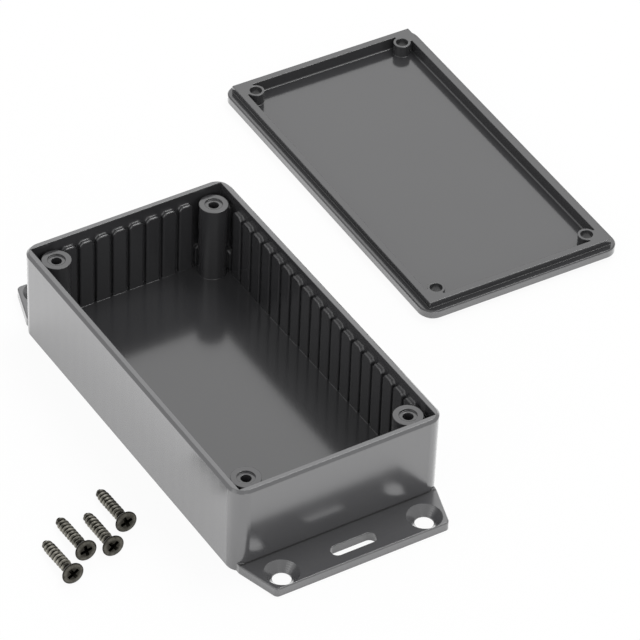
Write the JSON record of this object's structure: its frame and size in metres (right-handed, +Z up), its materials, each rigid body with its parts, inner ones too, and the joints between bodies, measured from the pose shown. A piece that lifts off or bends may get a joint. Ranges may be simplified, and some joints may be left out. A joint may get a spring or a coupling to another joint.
{
  "type": "flanged plastic project box",
  "caption": "Opened flanged plastic enclosure: rectangular base with board guide ribs and screw bosses, its cover lying inverted beside it, and its countersunk cover screws.",
  "frame": {"origin": "centre of the base's underside, on the surface that it stands on", "axes": "+X across the box, +Y along its length, +Z up out of the open base"},
  "size_m": [0.1982, 0.183, 0.027],
  "materials": {
    "base_plastic": "satin-gloss moulded ABS",
    "cover_plastic": "satin-gloss moulded ABS",
    "screw_steel": "blackened steel with a dark bronze sheen"
  },
  "bodies": {
    "root": {"base": "base_plastic", "cover": "cover_plastic", "cover_screws": "screw_steel"}
  },
  "joints": []
}
